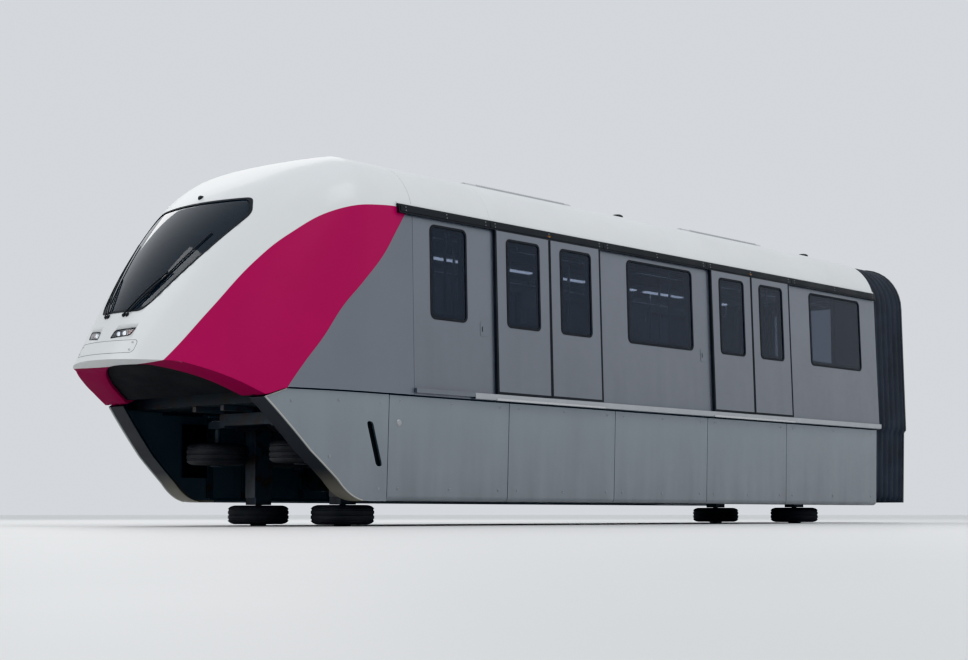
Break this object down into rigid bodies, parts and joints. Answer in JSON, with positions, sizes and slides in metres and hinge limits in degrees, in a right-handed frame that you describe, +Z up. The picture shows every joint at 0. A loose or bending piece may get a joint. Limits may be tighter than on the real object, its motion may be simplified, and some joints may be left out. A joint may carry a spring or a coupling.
{
  "type": "monorail end car",
  "caption": "Straddle-beam monorail end car with a sloping nose, sliding doors, skirts over the running gear and a rubber gangway at its rear.",
  "frame": {"origin": "on the floor under the middle of the whole length, gangway included", "axes": "+X forward towards the nose, +Y left, +Z up"},
  "size_m": [13.7355, 3.1448, 4.05],
  "materials": {
    "white_paint": "gloss",
    "silver_paint": "satin",
    "skirt_paint": "satin",
    "black_trim": "matte",
    "tinted_glass": "gloss",
    "bellows_rubber": "matte",
    "tyre": "matte",
    "frame_steel": "matte",
    "interior_panel": "satin",
    "seat_shell": "satin",
    "lamp_lens": "gloss"
  },
  "bodies": {
    "carbody": {"roof": "white_paint", "nose_mask": "white_paint", "ceiling_panel": "interior_panel", "saloon_floor": "interior_panel", "rear_end_wall": "interior_panel", "front_desk": "interior_panel", "windscreen": "tinted_glass", "nose_underpan": "black_trim", "gangway_bellows": "bellows_rubber", "gangway_end_frame": "frame_steel", "gangway_bridge": "frame_steel", "drawbar": "frame_steel", "side_wall_left": "silver_paint", "door_track_left": "black_trim", "headlamp_left": "lamp_lens", "side_skirt_left": "skirt_paint", "front_skirt_left": "skirt_paint", "seat_left_middle": "seat_shell", "seat_left_rear": "seat_shell", "equipment_case_left": "black_trim", "side_wall_right": "silver_paint", "door_track_right": "black_trim", "headlamp_right": "lamp_lens", "side_skirt_right": "skirt_paint", "front_skirt_right": "skirt_paint", "seat_right_middle": "seat_shell", "seat_right_rear": "seat_shell", "equipment_case_right": "black_trim", "wheel_housing_rear": "interior_panel", "roof_unit_rear": "skirt_paint", "wheel_housing_front": "interior_panel", "roof_unit_front": "skirt_paint"},
    "leaf_left_front_fore": {"door_left_front_fore": "silver_paint"},
    "leaf_left_front_aft": {"door_left_front_aft": "silver_paint"},
    "leaf_left_rear_fore": {"door_left_rear_fore": "silver_paint"},
    "leaf_left_rear_aft": {"door_left_rear_aft": "silver_paint"},
    "leaf_right_front_fore": {"door_right_front_fore": "silver_paint"},
    "leaf_right_front_aft": {"door_right_front_aft": "silver_paint"},
    "leaf_right_rear_fore": {"door_right_rear_fore": "silver_paint"},
    "leaf_right_rear_aft": {"door_right_rear_aft": "silver_paint"},
    "bogie_rear": {"bogie_frame_rear": "frame_steel", "traction_motor_rear": "frame_steel"},
    "axle_rear": {"load_wheelset_rear": "tyre"},
    "guide_rear_left_fore": {"guide_wheel_rear_left_fore": "tyre"},
    "guide_rear_left_aft": {"guide_wheel_rear_left_aft": "tyre"},
    "stabiliser_wheel_rear_left": {"stabiliser_rear_left": "tyre"},
    "guide_rear_right_fore": {"guide_wheel_rear_right_fore": "tyre"},
    "guide_rear_right_aft": {"guide_wheel_rear_right_aft": "tyre"},
    "stabiliser_wheel_rear_right": {"stabiliser_rear_right": "tyre"},
    "bogie_front": {"bogie_frame_front": "frame_steel", "traction_motor_front": "frame_steel"},
    "axle_front": {"load_wheelset_front": "tyre"},
    "guide_front_left_fore": {"guide_wheel_front_left_fore": "tyre"},
    "guide_front_left_aft": {"guide_wheel_front_left_aft": "tyre"},
    "stabiliser_wheel_front_left": {"stabiliser_front_left": "tyre"},
    "guide_front_right_fore": {"guide_wheel_front_right_fore": "tyre"},
    "guide_front_right_aft": {"guide_wheel_front_right_aft": "tyre"},
    "stabiliser_wheel_front_right": {"stabiliser_front_right": "tyre"}
  },
  "joints": [
    {"name": "slide_left_front_fore", "type": "slide", "parent": "carbody", "child": "leaf_left_front_fore", "axis": [1, 0, 0], "range_m": [0, 0.8]},
    {"name": "slide_left_front_aft", "type": "slide", "parent": "carbody", "child": "leaf_left_front_aft", "axis": [-1, 0, 0], "range_m": [0, 0.8]},
    {"name": "slide_left_rear_fore", "type": "slide", "parent": "carbody", "child": "leaf_left_rear_fore", "axis": [1, 0, 0], "range_m": [0, 0.8]},
    {"name": "slide_left_rear_aft", "type": "slide", "parent": "carbody", "child": "leaf_left_rear_aft", "axis": [-1, 0, 0], "range_m": [0, 0.8]},
    {"name": "slide_right_front_fore", "type": "slide", "parent": "carbody", "child": "leaf_right_front_fore", "axis": [1, 0, 0], "range_m": [0, 0.8]},
    {"name": "slide_right_front_aft", "type": "slide", "parent": "carbody", "child": "leaf_right_front_aft", "axis": [-1, 0, 0], "range_m": [0, 0.8]},
    {"name": "slide_right_rear_fore", "type": "slide", "parent": "carbody", "child": "leaf_right_rear_fore", "axis": [1, 0, 0], "range_m": [0, 0.8]},
    {"name": "slide_right_rear_aft", "type": "slide", "parent": "carbody", "child": "leaf_right_rear_aft", "axis": [-1, 0, 0], "range_m": [0, 0.8]},
    {"name": "yaw_rear", "type": "hinge", "parent": "carbody", "child": "bogie_rear", "pos_m": [-4.985, 0, 1.26], "axis": [0, 0, -1], "range_deg": [-6, 6]},
    {"name": "roll_rear", "type": "hinge", "parent": "bogie_rear", "child": "axle_rear", "pos_m": [-4.985, 0, 1.51], "axis": [0, 1, 0], "continuous": true},
    {"name": "spin_guide_rear_left_fore", "type": "hinge", "parent": "bogie_rear", "child": "guide_rear_left_fore", "pos_m": [-4.385, 0.69, 0.78], "axis": [0, 0, -1], "continuous": true},
    {"name": "spin_guide_rear_left_aft", "type": "hinge", "parent": "bogie_rear", "child": "guide_rear_left_aft", "pos_m": [-5.585, 0.69, 0.78], "axis": [0, 0, -1], "continuous": true},
    {"name": "spin_stabiliser_rear_left", "type": "hinge", "parent": "bogie_rear", "child": "stabiliser_wheel_rear_left", "pos_m": [-4.985, 0.69, 0.12], "axis": [0, 0, -1], "continuous": true},
    {"name": "spin_guide_rear_right_fore", "type": "hinge", "parent": "bogie_rear", "child": "guide_rear_right_fore", "pos_m": [-4.385, -0.69, 0.78], "axis": [0, 0, 1], "continuous": true},
    {"name": "spin_guide_rear_right_aft", "type": "hinge", "parent": "bogie_rear", "child": "guide_rear_right_aft", "pos_m": [-5.585, -0.69, 0.78], "axis": [0, 0, 1], "continuous": true},
    {"name": "spin_stabiliser_rear_right", "type": "hinge", "parent": "bogie_rear", "child": "stabiliser_wheel_rear_right", "pos_m": [-4.985, -0.69, 0.12], "axis": [0, 0, 1], "continuous": true},
    {"name": "yaw_front", "type": "hinge", "parent": "carbody", "child": "bogie_front", "pos_m": [4.065, 0, 1.26], "axis": [0, 0, 1], "range_deg": [-6, 6]},
    {"name": "roll_front", "type": "hinge", "parent": "bogie_front", "child": "axle_front", "pos_m": [4.065, 0, 1.51], "axis": [0, 1, 0], "continuous": true},
    {"name": "spin_guide_front_left_fore", "type": "hinge", "parent": "bogie_front", "child": "guide_front_left_fore", "pos_m": [4.665, 0.69, 0.78], "axis": [0, 0, -1], "continuous": true},
    {"name": "spin_guide_front_left_aft", "type": "hinge", "parent": "bogie_front", "child": "guide_front_left_aft", "pos_m": [3.465, 0.69, 0.78], "axis": [0, 0, -1], "continuous": true},
    {"name": "spin_stabiliser_front_left", "type": "hinge", "parent": "bogie_front", "child": "stabiliser_wheel_front_left", "pos_m": [4.065, 0.69, 0.12], "axis": [0, 0, -1], "continuous": true},
    {"name": "spin_guide_front_right_fore", "type": "hinge", "parent": "bogie_front", "child": "guide_front_right_fore", "pos_m": [4.665, -0.69, 0.78], "axis": [0, 0, 1], "continuous": true},
    {"name": "spin_guide_front_right_aft", "type": "hinge", "parent": "bogie_front", "child": "guide_front_right_aft", "pos_m": [3.465, -0.69, 0.78], "axis": [0, 0, 1], "continuous": true},
    {"name": "spin_stabiliser_front_right", "type": "hinge", "parent": "bogie_front", "child": "stabiliser_wheel_front_right", "pos_m": [4.065, -0.69, 0.12], "axis": [0, 0, 1], "continuous": true}
  ],
  "couplings": [
    {"joint": "slide_left_front_aft", "follows": "slide_left_front_fore", "ratio": 1},
    {"joint": "slide_left_rear_aft", "follows": "slide_left_rear_fore", "ratio": 1},
    {"joint": "slide_right_front_aft", "follows": "slide_right_front_fore", "ratio": 1},
    {"joint": "slide_right_rear_aft", "follows": "slide_right_rear_fore", "ratio": 1}
  ]
}
